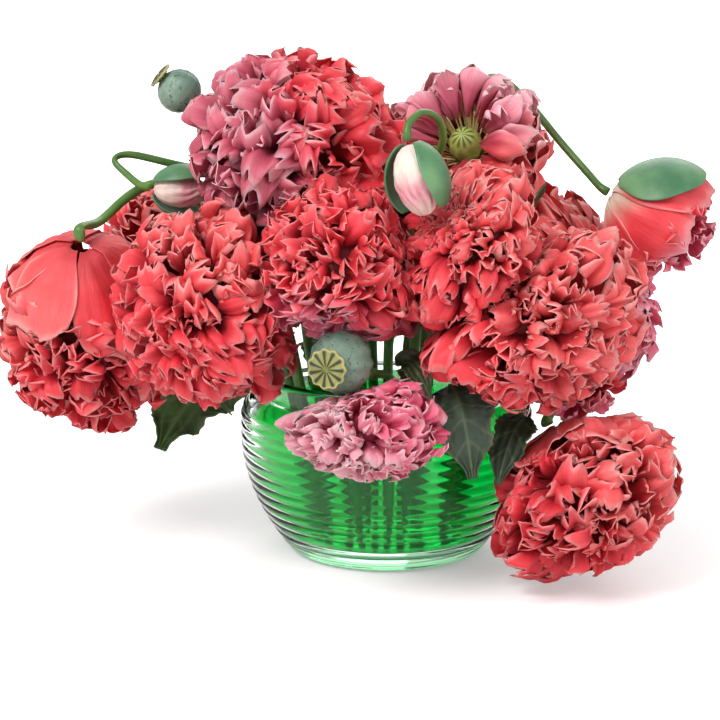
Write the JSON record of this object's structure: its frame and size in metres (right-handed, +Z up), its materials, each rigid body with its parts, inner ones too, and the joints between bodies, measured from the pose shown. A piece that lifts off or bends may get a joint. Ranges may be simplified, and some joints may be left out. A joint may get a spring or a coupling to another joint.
{
  "type": "poppy bouquet in glass bowl",
  "caption": "Bouquet of ruffled double poppies with nodding buds, seed heads and leaves, standing in tinted water in a ribbed glass bowl vase",
  "frame": {"origin": "centre of the bowl's flat foot, on the surface that it stands on", "axes": "+Z up, -Y towards the front with the widest show of flowers, +X to the right as seen from the front"},
  "size_m": [0.3652, 0.2533, 0.2588],
  "materials": {
    "glass": "clear polished glass with narrow level ribs",
    "water": "clear water tinted a vivid green",
    "petals_coral": "thin crumpled petals, coral red with paler edges",
    "petals_rose": "thin crumpled petals, rose pink with whitish edges",
    "petals_blush": "tightly folded petals, blush pink to white",
    "stem": "smooth waxy green stem",
    "sepal": "waxy blue-green bud shell",
    "pod": "waxy grey-green seed head with dark flecks",
    "pod_disc": "yellow-green scalloped disc with dark rays",
    "leaf": "matte dark green leaf with pale veins and toothed edge"
  },
  "bodies": {
    "root": {"bloom_back_centre": "petals_coral", "bloom_back_left": "petals_coral", "bloom_back_right": "petals_coral", "bloom_back_top": "petals_coral", "bloom_centre": "petals_coral", "bloom_centre_right": "petals_coral", "bloom_crown": "petals_coral", "bloom_far_left": "petals_coral", "bloom_hanging": "petals_coral", "bloom_left": "petals_coral", "bloom_left_back": "petals_coral", "bloom_nodding": "petals_coral", "bloom_pink": "petals_rose", "bloom_right": "petals_coral", "bloom_right_back": "petals_coral", "bloom_right_low": "petals_coral", "bloom_top": "petals_coral", "bowl": "glass", "bud_front_petals": "petals_blush", "bud_front_sepal_left": "sepal", "bud_front_sepal_right": "sepal", "bud_left_petals": "petals_blush", "bud_left_sepal_left": "sepal", "bud_left_sepal_right": "sepal", "leaf_back": "leaf", "leaf_front": "leaf", "leaf_hanging": "leaf", "leaf_left": "leaf", "leaf_pink": "leaf", "leaf_top": "leaf", "pod_front": "pod", "pod_front_disc": "pod_disc", "pod_high": "pod", "pod_high_disc": "pod_disc", "sepal_nodding": "sepal", "stem_back_centre": "stem", "stem_back_left": "stem", "stem_back_right": "stem", "stem_back_top": "stem", "stem_bud_front": "stem", "stem_bud_left": "stem", "stem_centre": "stem", "stem_centre_right": "stem", "stem_crown": "stem", "stem_far_left": "stem", "stem_hanging": "stem", "stem_left": "stem", "stem_left_back": "stem", "stem_nodding": "stem", "stem_pink": "stem", "stem_pod_front": "stem", "stem_pod_high": "stem", "stem_right": "stem", "stem_right_back": "stem", "stem_right_low": "stem", "stem_top": "stem", "water": "water"}
  },
  "joints": []
}
